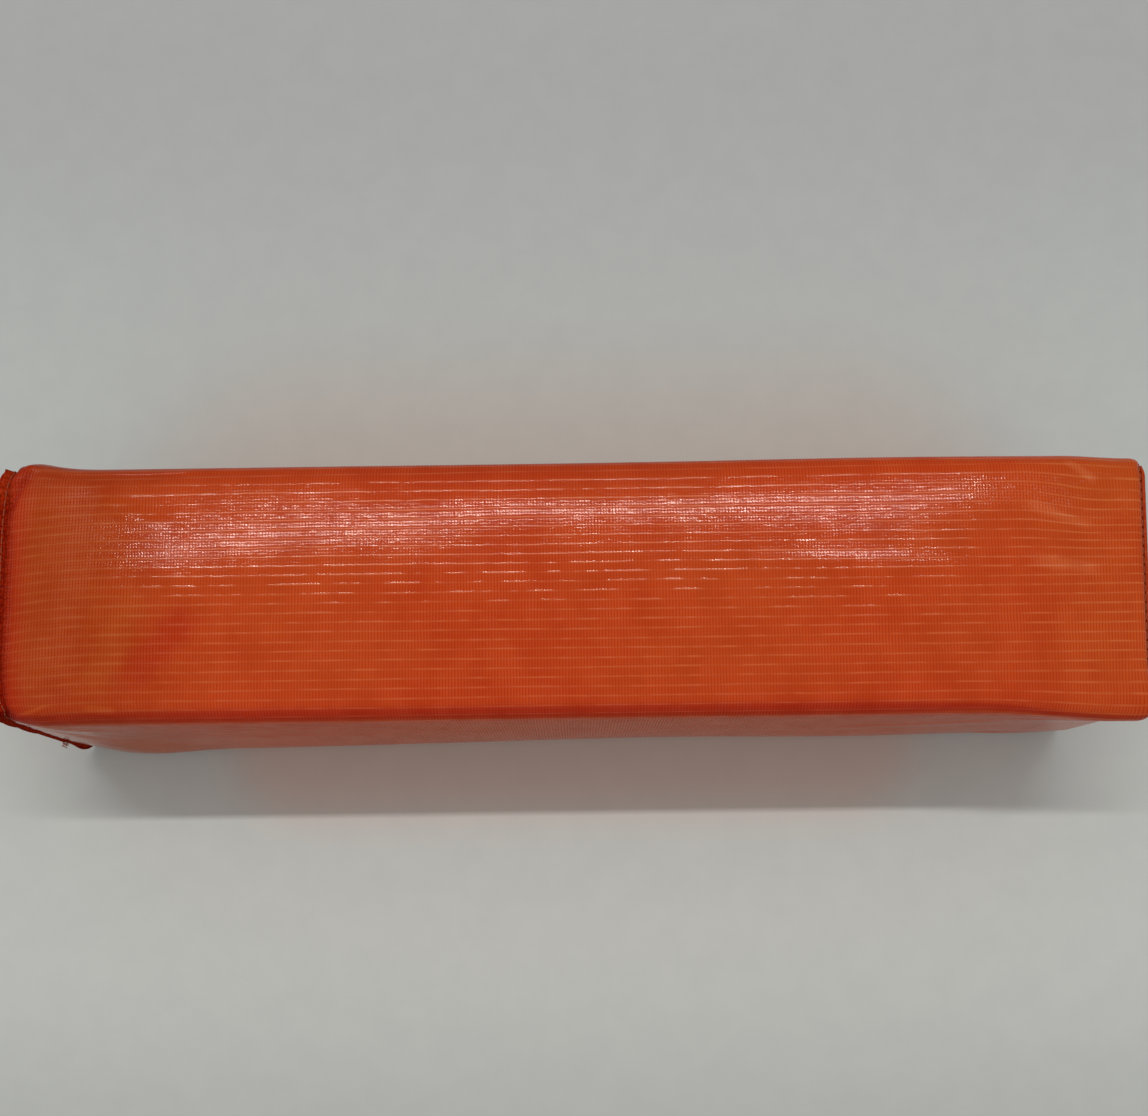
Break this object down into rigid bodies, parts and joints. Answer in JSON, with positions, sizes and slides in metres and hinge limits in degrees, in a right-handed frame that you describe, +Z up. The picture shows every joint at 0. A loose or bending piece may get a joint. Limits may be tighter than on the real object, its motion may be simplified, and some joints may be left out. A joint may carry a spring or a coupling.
{
  "type": "football end zone pylon",
  "caption": "Square-section orange end zone marker: a sewn coated-fabric cover over a foam block, with a sand bag as weight in its base end, lying on one side.",
  "frame": {"origin": "middle of the footprint of the pylon as it lies on one long side, on the surface that carries it", "axes": "+X from the weighted base end to the top end, +Y to the far side, +Z up"},
  "size_m": [0.4642, 0.1052, 0.1044],
  "materials": {
    "coated_fabric": "satin",
    "foam": "matte",
    "bag_film": "satin",
    "sand": "matte",
    "tie_nylon": "satin",
    "thread": "matte"
  },
  "bodies": {
    "root": {"cover_wrap": "coated_fabric", "base_end_panel": "coated_fabric", "top_end_panel": "coated_fabric", "foam_core": "foam", "foam_plug": "foam", "weight_bag": "bag_film", "sand_fill": "sand", "bag_tie": "tie_nylon", "base_seam_needle_thread": "thread", "base_seam_bobbin_thread": "thread", "top_seam_thread": "thread", "wrap_seam_thread": "thread", "thread_tail": "thread"}
  },
  "joints": []
}
